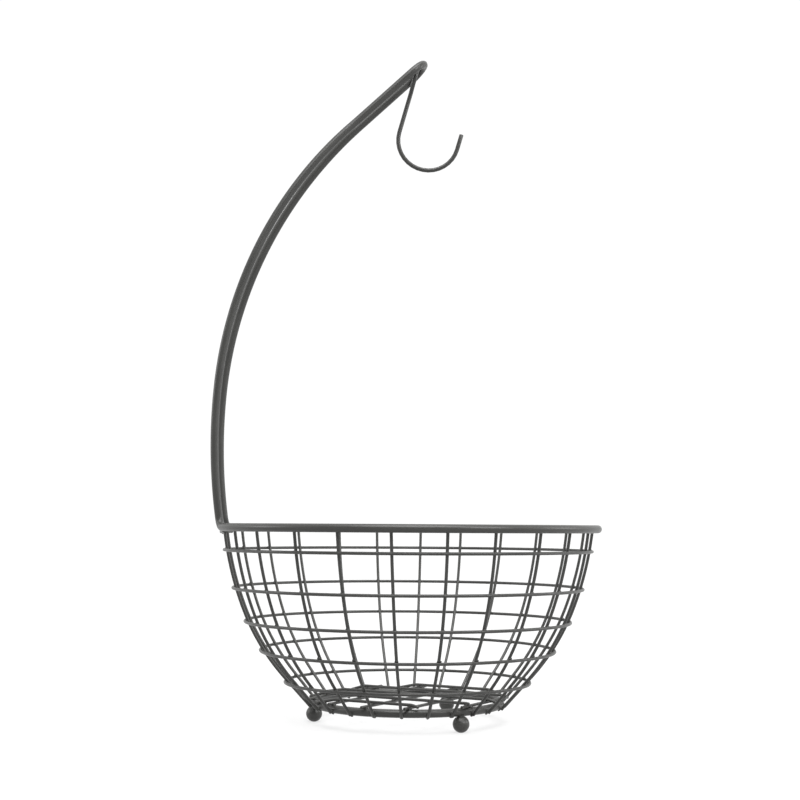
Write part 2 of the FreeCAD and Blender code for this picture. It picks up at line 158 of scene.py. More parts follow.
# %% [markdown]
# ## The studio
#
# The picture is a plain catalogue shot on white. The rim shows how it is lit: its upper third carries a
# soft streak and is twice as light as the band under it, so the main light is a large soft box high in
# front. The band that looks straight at the camera is the darkest, so little light comes from there.
#
# The table comes first. The picture has no shadow, as on a light table, where white acrylic is lit from
# under. Here the acrylic glows by itself and only a small part of its white is reflected light, so that
# a shadow can take little away.

# %% Table
TABLE_SIDE = 40.0               # m, so that its edge lies at the horizon
TABLE_GLOW = 0.7                # of full white

bpy.ops.object.select_all(action="DESELECT")
bpy.ops.mesh.primitive_plane_add(size=TABLE_SIDE, location=(0, 0, 0))
table = bpy.context.object
table.name = "table"
table_paint, tree = new_material("pale_table")
acrylic = add_node(tree, "ShaderNodeBsdfDiffuse", values={"Color": paint("#707070")})
glow = add_node(tree, "ShaderNodeEmission", values={"Color": paint("#ffffff"), "Strength": TABLE_GLOW})
pale = add_node(tree, "ShaderNodeAddShader", {0: acrylic.outputs[0], 1: glow.outputs[0]})
add_node(tree, "ShaderNodeOutputMaterial", {"Surface": pale.outputs[0]})
table.data.materials.append(table_paint)
print("table, m across:", TABLE_SIDE)

# %% [markdown]
# The soft box could be a lamp, but a lamp near the basket lights the table unevenly. It is therefore
# painted into the sky, which is as far away as can be. Three things add up there: a white dome, a dark
# side behind the camera and a bright round patch high in front. A place in the sky is known by its
# direction, so every step below works on that. What is seen behind the basket is white paper.

# %% Sky
HORIZON, OVERHEAD = 1.04, 1.5   # strength, a little over white
DOME_FROM = 0.25                # height in the sky, 0 to 1, above which the dome gets brighter
DARK_SIDE = 0.3                 # what is left of the dome behind the camera
DARK_FROM, DARK_TO = -0.9, -0.1     # the sky's Y where the dark side is full and where it ends
BOX_STRENGTH = 8.0
BOX_ELEVATION = math.radians(62)
BOX_EDGE, BOX_CORE = 0.86, 0.96     # cosines of the angles from its middle to its edge and core
BOX_WAY = Vector((0, -math.cos(BOX_ELEVATION), math.sin(BOX_ELEVATION)))

world = bpy.data.worlds.new("white_studio")
bpy.context.scene.world = world
world.use_nodes = True
tree = world.node_tree
tree.nodes.clear()
way = add_node(tree, "ShaderNodeTexCoord")
parts = add_node(tree, "ShaderNodeSeparateXYZ", {"Vector": way.outputs["Generated"]})
dome = add_node(tree, "ShaderNodeMapRange", {"Value": parts.outputs["Z"]},
                values={"From Min": DOME_FROM, "From Max": 1.0, "To Min": HORIZON, "To Max": OVERHEAD})
sides = add_node(tree, "ShaderNodeMapRange", {"Value": parts.outputs["Y"]},
                 values={"From Min": DARK_FROM, "From Max": DARK_TO, "To Min": DARK_SIDE, "To Max": 1.0})
dimmed = add_node(tree, "ShaderNodeMath", {0: dome.outputs["Result"], 1: sides.outputs["Result"]},
                  {"operation": "MULTIPLY"})
towards_box = add_node(tree, "ShaderNodeVectorMath", {0: way.outputs["Generated"]},
                       {"operation": "DOT_PRODUCT"}, {1: BOX_WAY})
box = add_node(tree, "ShaderNodeMapRange", {"Value": towards_box.outputs["Value"]},
               {"interpolation_type": "SMOOTHSTEP"},
               {"From Min": BOX_EDGE, "From Max": BOX_CORE, "To Min": 0.0, "To Max": BOX_STRENGTH})
lit = add_node(tree, "ShaderNodeMath", {0: dimmed.outputs["Value"], 1: box.outputs["Result"]},
               {"operation": "ADD"})
shine = add_node(tree, "ShaderNodeBackground", {"Strength": lit.outputs["Value"]},
                 values={"Color": paint("#ffffff")})
paper = add_node(tree, "ShaderNodeBackground", values={"Color": paint("#ffffff"), "Strength": HORIZON})
looked_at = add_node(tree, "ShaderNodeLightPath")
sky = add_node(tree, "ShaderNodeMixShader", {0: looked_at.outputs["Is Camera Ray"], 1: shine.outputs[0],
                                             2: paper.outputs[0]})
add_node(tree, "ShaderNodeOutputWorld", {"Surface": sky.outputs[0]})
bpy.context.scene.view_settings.view_transform = "Standard"
print("sky nodes:", len(tree.nodes))

# %% [markdown]
# Lamps do what the sky is too large for. One on each side brightens the hoops where they turn the
# corner, and a small one at the front right gives the balls and the mast a narrow second streak.

# %% Side lamps
AIM = Vector((0, 0, 0.2))       # m, about the middle of the basket


def soft_box(name, azimuth, elevation, distance, side, watts):
    """A square lamp in that direction from the basket, in degrees, turned towards it."""
    azimuth, elevation = math.radians(azimuth), math.radians(elevation)
    away = Vector((math.cos(azimuth) * math.cos(elevation), math.sin(azimuth) * math.cos(elevation),
                   math.sin(elevation)))
    lamp = bpy.data.lights.new(name, "AREA")
    lamp.size = side
    lamp.energy = watts
    holder = bpy.data.objects.new(name, lamp)
    turned = away.to_track_quat("Z", "Y").to_matrix().to_4x4()
    holder.matrix_world = Matrix.Translation(AIM + away * distance) @ turned
    bpy.context.scene.collection.objects.link(holder)


for name, azimuth in (("left_lamp", 176), ("right_lamp", 4)):
    soft_box(name, azimuth, elevation=14, distance=1.5, side=0.6, watts=5)
soft_box("front_lamp", azimuth=-46, elevation=25, distance=2.0, side=0.4, watts=18)
print("lamps:", [lamp.name for lamp in bpy.data.lights])

# %% [markdown]
# ## Powder coat
#
# Charcoal polyester powder is sprayed dry on the bare steel and baked, so it flows into one film over
# wires and welds alike. To the eye it is a half-matt dark grey, faintly warm, with an orange peel about
# a millimetre across that breaks up the highlight along a rod. Where the film is thin it is a touch
# lighter. It is a plastic film, so it is not metallic, whatever lies under it.

# %% Powder coat
PEEL = 1.1                      # mm from one hump of the orange peel to the next
GRAIN = 0.3                     # mm, the grain of the powder
CLOUD = 28.0                    # mm, slow changes in the film's thickness
PEEL_HEIGHT = 0.02 * MM
PEEL_STRENGTH = 0.2
NOISE_LOW, NOISE_HIGH = 0.3, 0.7    # a noise texture stays between these nearly everywhere
GLOSSY, DULL = 0.32, 0.4        # roughness where the film is thick and thin
MOST_SPECK = 0.25               # how much of the lighter grain shows
PER_METRE = 1000.0
MIX_A, MIX_B = 6, 7             # the colour sockets of a Mix node

powder, tree = new_material("charcoal_polyester_powder_coat")
where = add_node(tree, "ShaderNodeTexCoord")
cloud = add_node(tree, "ShaderNodeTexNoise", {"Vector": where.outputs["Object"]},
                 values={"Scale": PER_METRE / CLOUD, "Detail": 2.0})
grain = add_node(tree, "ShaderNodeTexNoise", {"Vector": where.outputs["Object"]},
                 values={"Scale": PER_METRE / GRAIN, "Detail": 1.0})
peel = add_node(tree, "ShaderNodeTexNoise", {"Vector": where.outputs["Object"]},
                values={"Scale": PER_METRE / PEEL, "Detail": 2.0, "Roughness": 0.4})
film = add_node(tree, "ShaderNodeMix", {"Factor": cloud.outputs["Fac"]}, {"data_type": "RGBA"},
                {MIX_A: paint("#292928"), MIX_B: paint("#323230")})
speck = add_node(tree, "ShaderNodeMapRange", {"Value": grain.outputs["Fac"]},
                 values={"From Min": NOISE_LOW, "From Max": NOISE_HIGH, "To Min": 0.0, "To Max": MOST_SPECK})
colour = add_node(tree, "ShaderNodeMix", {"Factor": speck.outputs["Result"], MIX_A: film.outputs[2]},
                  {"data_type": "RGBA"}, {MIX_B: paint("#3d3d3b")})
gloss = add_node(tree, "ShaderNodeMapRange", {"Value": cloud.outputs["Fac"]},
                 values={"From Min": NOISE_LOW, "From Max": NOISE_HIGH, "To Min": GLOSSY, "To Max": DULL})
bump = add_node(tree, "ShaderNodeBump", {"Height": peel.outputs["Fac"]},
                values={"Strength": PEEL_STRENGTH, "Distance": PEEL_HEIGHT})
coat = add_node(tree, "ShaderNodeBsdfPrincipled",
                {"Base Color": colour.outputs[2], "Roughness": gloss.outputs["Result"],
                 "Normal": bump.outputs["Normal"]},
                values={"IOR": 1.5, "Specular IOR Level": 0.35})
add_node(tree, "ShaderNodeOutputMaterial", {"Surface": coat.outputs["BSDF"]})
print("coat:", powder.name)


def dress(piece, *nodes):
    """Coats a piece, lets it ride on the frame and stand for the nodes that it replaces."""
    piece.data.materials.clear()
    piece.data.materials.append(powder)
    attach(piece, "root")
    if nodes:
        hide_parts(*nodes)
    return piece

# %% [markdown]
# ## A wire bender
#
# In the workshop a wire is fed straight and then bent about a die, over and over. The same two moves
# make every wire here. A round section is added at the wire's start, a run extrudes it, and a bend spins
# it about the centre of the die. Each move starts from the end that the last one left selected.

# %% Wire bender
RUN_STEP = 6.0 * MM             # a straight run needs few rings
ARC_STEP = 4.0 * MM             # length between two rings of a bend


def start_wire(name, diameter, place, heading, sides):
    """Adds the coated section, square to the wire, and enters edit mode with it selected."""
    bpy.ops.object.select_all(action="DESELECT")
    facing = Vector(heading).to_track_quat("Z", "Y").to_euler()
    bpy.ops.mesh.primitive_circle_add(vertices=sides, radius=diameter / 2 + COAT, location=place,
                                      rotation=facing)
    bpy.context.object.name = name
    bpy.ops.object.transform_apply(location=True, rotation=True, scale=True)
    bpy.ops.object.mode_set(mode="EDIT")
    bpy.ops.mesh.select_mode(type="VERT")
    bpy.ops.mesh.select_all(action="SELECT")
    return bpy.context.object


def run(here, heading, length):
    """Feeds the wire straight on. Returns the new end."""
    steps = max(1, round(length / RUN_STEP))
    for _ in range(steps):
        bpy.ops.mesh.extrude_region_move(TRANSFORM_OT_translate={"value": heading * length / steps})
    return here + heading * length


def bend(here, heading, onward, radius):
    """Bends the wire until it heads onward. Returns the new end. Spin turns the left-handed way."""
    axis = heading.cross(onward).normalized()
    centre = here + axis.cross(heading) * radius
    angle = heading.angle(onward)
    steps = max(2, round(angle * radius / ARC_STEP))
    bpy.ops.mesh.spin(steps=steps, angle=angle, center=centre, axis=-axis)
    return centre + Matrix.Rotation(angle, 3, axis) @ (here - centre)


def follow(here, heading, moves):
    """Makes a list of moves: a number is a run, and (onward, radius) is a bend."""
    for move in moves:
        if isinstance(move, tuple):
            here = bend(here, heading, *move)
            heading = move[0]
        else:
            here = run(here, heading, move)
    return here


print("steps of a run and of a bend, mm:", RUN_STEP / MM, ARC_STEP / MM)

# %% [markdown]
# After its last move a wire is cut off. Shears leave a sharp edge, which the coat rounds. Here both ends
# get a cap with a bevelled edge. A bent wire is a tube of small flat faces, so it is shaded smooth, and
# only the edge of the cap stays visible.

# %% Cut ends
SHEAR_EDGE = 0.25 * MM          # the coat rounds the sheared edge of a wire's end
SMOOTH_UNDER = math.radians(50) # edges flatter than this are shaded smooth


def leave_edit():
    """Turns all faces outwards, goes back to object mode and shades the piece smooth."""
    bpy.ops.mesh.select_all(action="SELECT")
    bpy.ops.mesh.normals_make_consistent(inside=False)
    bpy.ops.object.mode_set(mode="OBJECT")
    bpy.ops.object.shade_smooth_by_angle(angle=SMOOTH_UNDER)
    return bpy.context.object


def cut_ends():
    """Caps both ends of the wire in edit mode and rounds their edges."""
    bpy.ops.mesh.select_all(action="SELECT")
    bpy.ops.mesh.fill_holes(sides=0)
    bpy.ops.mesh.select_mode(type="FACE")
    bpy.ops.mesh.select_all(action="DESELECT")
    bpy.ops.mesh.select_face_by_sides(number=4, type="GREATER")
    bpy.ops.mesh.bevel(offset=SHEAR_EDGE, segments=2, affect="EDGES")
    bpy.ops.mesh.select_mode(type="VERT")
    return leave_edit()


print("a sheared edge is rounded by, mm:", SHEAR_EDGE / MM)

# %% [markdown]
# ## Rim, mast and tip
#
# One rod makes all three. It runs round the rim, turns up into a leg at the back, arches over the bowl
# and turns round at the tip to come down as the other leg. Both sides are alike, so half of it is bent
# and a Mirror modifier makes the rest. The legs close in towards each other and then run parallel up to
# the tip. The angle at which they close in is worked out, so that they meet the tip's bend.

# %% The bends of the mast
FOOT_SPACING = 55.2 * MM        # between the legs, at the rim
CORNER_BEND = 6.6 * MM          # where the rim turns up into a leg
FOOT_RUN = 7.8 * MM             # from that corner to the leg's lower arc
MAST_LEAN = math.radians(8.0)   # outwards at the rim
LOWER_BEND = 403.0 * MM
LOWER_LEAN = math.radians(-5.0)
UPPER_BEND = 306.0 * MM
TIP_LEAN = math.radians(-46.8)
SPLAY_BEND = 60.0 * MM          # makes the two legs parallel
TIP_RUN = 58.0 * MM
TIP_BEND = 12.4 * MM
ROD_SIDES = 28
ROUNDS = 30                     # of trying and correcting, far more than the angles need to settle

# How far a leg reaches forward in its own upright plane, up to the end of its upper arc
leg_reach = (LOWER_BEND * (math.cos(MAST_LEAN) - math.cos(LOWER_LEAN))
             + UPPER_BEND * (math.cos(LOWER_LEAN) - math.cos(TIP_LEAN))
             - math.sin(MAST_LEAN) * FOOT_RUN)
closing = 0.0
for _ in range(ROUNDS):
    splay = 2 * math.asin(math.sin(-TIP_LEAN) * math.sin(closing / 2))
    splay_setback = SPLAY_BEND * math.tan(splay / 2)
    reach = leg_reach + math.sin(-TIP_LEAN) * splay_setback
    closing = math.asin((FOOT_SPACING / 2 - TIP_BEND) / reach)
leg_way = Vector((math.cos(closing), -math.sin(closing), 0))


def leaning(lean):
    """The heading of a leg that leans outwards by that angle."""
    return leg_way * -math.sin(lean) + Vector((0, 0, math.cos(lean)))


setback = CORNER_BEND
for _ in range(ROUNDS):
    corner_radius = math.hypot(RIM_RADIUS, setback)
    foot_azimuth = math.asin(FOOT_SPACING / 2 / corner_radius) + math.atan(setback / RIM_RADIUS)
    rim_end = Vector((-math.sin(foot_azimuth), -math.cos(foot_azimuth), 0))
    setback = CORNER_BEND * math.tan(rim_end.angle(leaning(MAST_LEAN)) / 2)
tip_way = Vector((math.sin(-TIP_LEAN), 0, math.cos(TIP_LEAN)))
print("legs close in by", round(math.degrees(closing), 2), "degrees")

# %% [markdown]
# Now half of the rod is bent in one go, from the front of the rim to the middle of the tip, as a list of
# bends and runs. The mirror gives the other half, and its two open ends meet the first half's there.

# %% Bend the frame rod
MERGE_UNDER = WELD_GAP / 5      # points nearer than this are one point

rim_front = Vector((RIM_RADIUS, 0, RIM_HEIGHT))
frame_rod = start_wire("frame_rod_coated", ROD, rim_front, (0, 1, 0), ROD_SIDES)
tip = follow(rim_front, Vector((0, 1, 0)), [
    (rim_end, RIM_RADIUS),
    (leaning(MAST_LEAN), CORNER_BEND),
    FOOT_RUN - setback,
    (leaning(LOWER_LEAN), LOWER_BEND),
    (leaning(TIP_LEAN), UPPER_BEND),
    (tip_way, SPLAY_BEND),
    TIP_RUN - splay_setback,
    (Vector((0, -1, 0)), TIP_BEND),
])
leave_edit()
mirror = frame_rod.modifiers.new("other_half", "MIRROR")
mirror.use_axis = (False, True, False)
mirror.merge_threshold = MERGE_UNDER
bpy.ops.object.modifier_apply(modifier=mirror.name)
bpy.ops.object.mode_set(mode="EDIT")
leave_edit()
dress(frame_rod, "frame_rod")
print("tip at, mm:", [round(v / MM, 2) for v in tip], "faces:", len(frame_rod.data.polygons))

# %% [markdown]
# ## Ribs
#
# Every rib is the same wire: nearly upright at the rim, then bent in two arcs that meet without a kink,
# then straight to the base ring. One is bent in the plane of the X axis and copied round. They start
# half a pitch from the mast, which leaves the space between the legs to two of them.

# %% Ribs
RIB_TOP = 1.0 * MM              # above the rim's centre
RIB_LEAN = math.radians(6.4)
RIB_UPPER_BEND = 229.0 * MM
RIB_JOINT_DEPTH = 58.5 * MM
RIB_LOWER_BEND = 157.0 * MM
RIB_FOOT = math.radians(42.2)
RIB_TAIL = 2.4 * MM             # under the base ring's centre
RIB_RADIUS = RIM_RADIUS - ROD / 2 - WIRE / 2 - WELD_GAP
WIRE_SIDES = 14

rib_joint = math.asin(math.sin(RIB_LEAN) + RIB_JOINT_DEPTH / RIB_UPPER_BEND)
upper_centre = Vector((RIB_RADIUS - RIB_UPPER_BEND * math.cos(RIB_LEAN), 0,
                       RIM_HEIGHT + RIB_UPPER_BEND * math.sin(RIB_LEAN)))


def inwards(angle):
    """The heading of a rib that comes down and closes in by that angle."""
    return Vector((-math.sin(angle), 0, -math.cos(angle)))


def outwards(angle):
    """Square to it, away from the bowl."""
    return Vector((math.cos(angle), 0, -math.sin(angle)))


lower_centre = upper_centre + outwards(rib_joint) * (RIB_UPPER_BEND - RIB_LOWER_BEND)
knee = lower_centre + outwards(RIB_FOOT) * RIB_LOWER_BEND
rib_start = Vector((RIB_RADIUS, 0, RIM_HEIGHT)) - inwards(RIB_LEAN) * RIB_TOP / math.cos(RIB_LEAN)
rib = start_wire("rib", WIRE, rib_start, inwards(RIB_LEAN), WIRE_SIDES)
follow(rib_start, inwards(RIB_LEAN), [
    RIB_TOP / math.cos(RIB_LEAN),
    (inwards(rib_joint), RIB_UPPER_BEND),
    (inwards(RIB_FOOT), RIB_LOWER_BEND),
    (knee.z - BASE_HEIGHT + RIB_TAIL) / math.cos(RIB_FOOT),
])
cut_ends()
print("one rib has", len(rib.data.polygons), "faces")

# %% [markdown]
# The basket was put together by hand in a jig. In the photograph some ribs stand up to one and a half
# degrees off their even places, and some lean a little along the hoops, so that neighbours aren't quite
# parallel. Each copy of the rib is therefore leaned about its middle and then turned to its own angle.

# %% Set the ribs round
RIB_TURNS = [  # degrees off the even pitch, half way up
    0.2, -1.5, -0.3, 0.1, 0.2, -0.1, 0.3, -0.5, 0.1, -0.4, 0.5, 0.5,
    0.2, 0.6, -0.3, 0.2, -0.5, 0.0, 0.4, -0.3, 0.1, -1.0, 0.3, -0.7]
RIB_SWAYS = [  # degrees of lean along the hoops, upwards
    -1.1, 0.0, -0.4, -0.5, 0.4, -0.4, -0.2, -1.2, 0.4, -0.4, -0.5, 1.2,
    -0.7, -0.7, -0.7, -0.2, -0.9, -1.1, -0.5, -0.4, 0.7, 1.4, -0.4, -0.5]
RIB_MIDDLE = 75.0 * MM          # height at which a lean leaves the rib where it is


def copied(piece, name, place):
    """A copy with a mesh of its own, moved there."""
    twin = piece.copy()
    twin.data = piece.data.copy()
    twin.name = name
    twin.data.transform(place)
    bpy.context.scene.collection.objects.link(twin)
    return twin


RIB_PITCH = 2 * math.pi / RIB_COUNT
rib_angles = [(number + 0.5) * RIB_PITCH + math.radians(turn) for number, turn in enumerate(RIB_TURNS)]
rib_sways = [math.radians(sway) for sway in RIB_SWAYS]


def rib_at(number, radius, height):
    """The angle round the bowl at which a rib passes that height."""
    return rib_angles[number] + math.atan((height - RIB_MIDDLE) * math.tan(rib_sways[number]) / radius)


middle = Matrix.Translation((0, 0, RIB_MIDDLE))
for number in range(RIB_COUNT):
    sway = middle @ Matrix.Rotation(-rib_sways[number], 4, "X") @ middle.inverted()
    piece = copied(rib, f"rib_{number + 1:02d}", Matrix.Rotation(rib_angles[number], 4, "Z") @ sway)
    dress(piece, f"rib_wire_{number + 1:02d}")
bpy.data.objects.remove(rib)
print(RIB_COUNT, "ribs set round")

# %% [markdown]
# ## Hoops, base ring and bridge wire
#
# A hoop is a wire rolled into a ring and butt welded. It lies outside the ribs, and its radius is read
# from the frame. In the photograph two hoops hang a little askew. The base ring is of the heavy rod and
# lies inside the ribs' lower ends. One function spins a section all the way round for each.

# %% Hoops and base ring
HOOP_STEPS = 240                # sections all the way round
HOOP_DIPS = {"hoop_4": 0.45, "hoop_5": -0.2}    # degrees that a hoop hangs low in front
RING_STEPS = 160


def close_ring():
    """Joins the last ring of a closed wire to its first."""
    bpy.ops.mesh.select_all(action="SELECT")
    bpy.ops.mesh.remove_doubles(threshold=MERGE_UNDER)
    return leave_edit()


def ring_wire(name, diameter, radius, height, sides, steps):
    """A closed ring about the bowl's axis: one section spun all the way round."""
    start_wire(name, diameter, (radius, 0, height), (0, 1, 0), sides)
    bpy.ops.mesh.spin(steps=steps, angle=2 * math.pi, center=(0, 0, height), axis=(0, 0, 1))
    return close_ring()


for name in HOOPS:
    hoop_radius, hoop_height = ring_of(name)
    hoop = dress(ring_wire(f"{name}_coated", WIRE, hoop_radius, hoop_height, WIRE_SIDES, HOOP_STEPS), name)
    if name in HOOP_DIPS:
        level = Matrix.Translation((0, 0, hoop_height))
        dip = Matrix.Rotation(math.radians(HOOP_DIPS[name]), 4, "X")
        hoop.data.transform(level @ dip @ level.inverted())
dress(ring_wire("base_ring_coated", ROD, BASE_RADIUS, BASE_HEIGHT, ROD_SIDES, RING_STEPS), "base_ring")
print("rings spun:", len(HOOPS) + 1)

# %% [markdown]
# The bridge wire is a short arc of the thin wire, outside the ribs and under the rim. It closes the space
# between the legs, where the rim itself is missing.

# %% Bridge wire
BRIDGE_ANGLE = math.radians(32.0)
BRIDGE_RADIUS = RIB_RADIUS + WIRE + WELD_GAP
bridge_low, bridge_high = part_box("bridge_wire")
bridge_height = (bridge_low.z + bridge_high.z) / 2
bridge_begin = math.pi - BRIDGE_ANGLE / 2
bridge_start = Vector((math.cos(bridge_begin), math.sin(bridge_begin), 0)) * BRIDGE_RADIUS
bridge_start.z = bridge_height
bridge_way = Vector((-math.sin(bridge_begin), math.cos(bridge_begin), 0))
bridge_onward = Matrix.Rotation(BRIDGE_ANGLE, 3, "Z") @ bridge_way
start_wire("bridge_wire_coated", WIRE, bridge_start, bridge_way, WIRE_SIDES)
follow(bridge_start, bridge_way, [(bridge_onward, BRIDGE_RADIUS)])
dress(cut_ends(), "bridge_wire")
print("bridge wire at, mm:", round(bridge_height / MM, 2))

# %% [markdown]
# ## Ball feet
#
# Three steel balls keep the basket off the table. Each is welded to the underside of the base ring, and
# the weld draws a short neck up from the ball. One ball is made from a sphere: its top faces are inset,
# drawn up and widened, so that the neck runs into the ring. It is then copied round.

# %% Ball feet
NECK_ANGLE = math.radians(27)   # the part of the ball's top that the weld takes up
NECK_RISE = 1.5 * MM
NECK_FLARE = 1.25               # how much wider its top gets
NECK_STEP = 0.25 * MM           # from the ball's last ring in to the neck
BALL_SEGMENTS, BALL_RINGS = 40, 26


def select_faces(piece, wanted):
    """Selects only the faces that the test picks, and stays in edit mode."""
    bpy.ops.object.mode_set(mode="EDIT")
    bpy.ops.mesh.select_mode(type="FACE")
    bpy.ops.mesh.select_all(action="DESELECT")
    bpy.ops.object.mode_set(mode="OBJECT")
    for face in piece.data.polygons:
        face.select = wanted(face)
    bpy.ops.object.mode_set(mode="EDIT")


bpy.ops.object.select_all(action="DESELECT")
bpy.ops.mesh.primitive_uv_sphere_add(segments=BALL_SEGMENTS, ring_count=BALL_RINGS, radius=BALL / 2,
                                     location=(BASE_RADIUS, 0, BALL / 2))
ball = bpy.context.object
ball.name = "ball_foot_a"
bpy.ops.object.transform_apply(location=True, rotation=True, scale=True)
neck_level = BALL / 2 * (1 + math.cos(NECK_ANGLE))
select_faces(ball, lambda face: face.center.z > neck_level)
neck_centre = (BASE_RADIUS, 0, neck_level)
bpy.ops.mesh.inset(thickness=NECK_STEP)
bpy.ops.mesh.extrude_region_move(TRANSFORM_OT_translate={"value": (0, 0, NECK_RISE / 2)})
bpy.ops.mesh.extrude_region_move(TRANSFORM_OT_translate={"value": (0, 0, NECK_RISE / 2)})
bpy.ops.transform.resize(value=(NECK_FLARE, NECK_FLARE, 1), center_override=neck_centre)
leave_edit()
feet = [ball, copied(ball, "ball_foot_b", Matrix.Rotation(2 * math.pi / 3, 4, "Z")),
        copied(ball, "ball_foot_c", Matrix.Rotation(-2 * math.pi / 3, 4, "Z"))]
for number, foot in enumerate(feet, start=1):
    # The first foot stands under the mast
    foot.data.transform(Matrix.Rotation(math.pi, 4, "Z"))
    dress(foot, f"ball_foot_{number}")
    print(foot.name, "at, mm:", [round(v / MM, 1) for v in foot.data.vertices[0].co])

# %% [markdown]
# ## Floor
#
# The floor is a grid of straight wires in two layers, turned against the mast. The lower layer rests on
# the base ring. The upper layer rests on the lower one, and the ends of its wires come down to the ring
# where there is room. The lower wires are single runs, and the upper ones get a bend near each end.

# %% Floor wires
FLOOR_TURN = math.radians(-33.0)
FLOOR_EDGE = 9.7 * MM           # from the base ring's centre line in to the outermost upper wire
FLOOR_SHIFT = 5.6 * MM          # how far the lower wires lie off the bowl's axis
FLOOR_END_GAP = 0.9 * MM        # between a wire's end and the ribs
STEPS_OFF_MIDDLE = (-2, -1, 0, 1, 2)    # five wires in a layer

floor_pitch = (BASE_RADIUS - FLOOR_EDGE) / 2
lower_height = BASE_HEIGHT + ROD / 2 + WIRE / 2 + WELD_GAP
upper_height = lower_height + WIRE + WELD_GAP
floor_turned = Matrix.Rotation(FLOOR_TURN, 3, "Z")


def inside_ribs(height):
    """Radius at which the inner side of the ribs' straight feet is met."""
    rise = (height - knee.z) * math.sin(RIB_FOOT)
    return knee.x + (rise - WIRE / 2) / math.cos(RIB_FOOT) - FLOOR_END_GAP


def chord(radius, offset):
    """Half the length of a straight wire across a circle, that far off its middle."""
    return math.sqrt(radius ** 2 - offset ** 2)


lower_offsets = [-(step * floor_pitch - FLOOR_SHIFT) for step in STEPS_OFF_MIDDLE]
upper_offsets = [step * floor_pitch for step in STEPS_OFF_MIDDLE]
lower_halves = [chord(inside_ribs(lower_height), abs(offset) + WIRE / 2) for offset in lower_offsets]
for number, (offset, half) in enumerate(zip(lower_offsets, lower_halves), start=1):
    begin = floor_turned @ Vector((offset, -half, lower_height))
    way = floor_turned @ Vector((0, 1, 0))
    start_wire(f"floor_lower_{number}", WIRE, begin, way, WIRE_SIDES)
    follow(begin, way, [2 * half])
    dress(cut_ends(), f"floor_wire_lower_{number}")
print("lower floor wires, mm long:", [round(2 * half / MM, 1) for half in lower_halves])

# %% [markdown]
# An upper wire lies level over the lower ones. Past the last of them each end is bent down, and where
# the base ring is near enough the slope is chosen so that the end lands on it. Four points say where a
# wire begins, bends and ends, and one function turns them into runs and bends.

# %% Upper floor wires
FLOOR_BEND = 8.0 * MM
END_SLOPE = math.radians(14.0)  # of an end that doesn't reach the ring
END_STEEPEST = math.radians(22.4)


def moves_through(points, radius):
    """Runs and bends that follow a line of points."""
    moves, used = [], 0.0
    for before, corner, after in zip(points, points[1:], points[2:]):
        into, onward = (corner - before).normalized(), (after - corner).normalized()
        back = radius * math.tan(into.angle(onward) / 2)
        moves += [(corner - before).length - used - back, (onward, radius)]
        used = back
    return moves + [(points[-1] - points[-2]).length - used]


upper_reach = inside_ribs(lower_height - WIRE)
landings = []                   # where an upper wire comes down on the base ring
for number, offset in enumerate(upper_offsets, start=1):
    half = chord(upper_reach, abs(offset) + WIRE / 2)
    touch = chord(BASE_RADIUS, offset)
    ends = []
    for side in (-1, 1):
        under = [c * side for c in lower_offsets if abs(offset) < chord(upper_reach, abs(c) + WIRE / 2)]
        last = max(c for c in under if c < half)
        corner = last + WIRE
        slope = math.atan2(WIRE + WELD_GAP, touch - corner)
        if 0 < slope <= END_STEEPEST:
            landings.append(floor_turned @ Vector((side * touch, offset, BASE_HEIGHT + ROD / 2)))
        else:
            slope = END_SLOPE
        # The bend stays clear of the wire's end, and above all of the last crossing
        corner = max(min(corner, half - WIRE), last + WIRE / 3)
        low = upper_height - (half - corner) * math.tan(slope)
        ends.append([Vector((side * half, offset, low)), Vector((side * corner, offset, upper_height))])
    points = [floor_turned @ point for point in (ends[0][0], ends[0][1], ends[1][1], ends[1][0])]
    way = (points[1] - points[0]).normalized()
    start_wire(f"floor_upper_{number}", WIRE, points[0], way, WIRE_SIDES)
    follow(points[0], way, moves_through(points, FLOOR_BEND))
    dress(cut_ends(), f"floor_wire_upper_{number}")
print("floor pitch, mm:", round(floor_pitch / MM, 2), "ends on the ring:", len(landings))

# %% [markdown]
# ## Hook
#
# The hook is one 3 mm wire. Its open arm comes down, swings round the bend and goes up as the shank. A
# small neck bend then leads into the eye, which nests in the bend of the mast's tip. The last of the
# eye is rolled to one side, so that its end passes beside the shank and doesn't butt against it.

# %% Hook
SHANK_LEAN = math.radians(15.7)
HOOK_BEND = 22.5 * MM
ARM_LEAN = math.radians(16.2)
ARM_RUN = 11.8 * MM
SHANK_RUN = 30.2 * MM
NECK_BEND = 3.0 * MM
EYE_RADIUS = 8.8 * MM
EYE_TURNS = [math.radians(90), math.radians(180), math.radians(275)]
EYE_ROLL = math.radians(4.0)    # how far the eye's end is rolled to the side
HOOK_SIDES = 20

across = Vector((0, 1, 0))
up = Vector((math.sin(SHANK_LEAN), 0, math.cos(SHANK_LEAN)))
forward = up.cross(across) * -1
arm_down = Vector((-math.sin(ARM_LEAN), 0, -math.cos(ARM_LEAN)))
neck_rise = math.sqrt(EYE_RADIUS ** 2 + 2 * EYE_RADIUS * NECK_BEND)
neck_turn = math.atan2(neck_rise, NECK_BEND)


def round_the_eye(turned, roll):
    """The heading after that much of the eye."""
    level = up * math.cos(neck_turn - turned) - across * math.sin(neck_turn - turned)
    return (level - forward * math.tan(roll)).normalized()


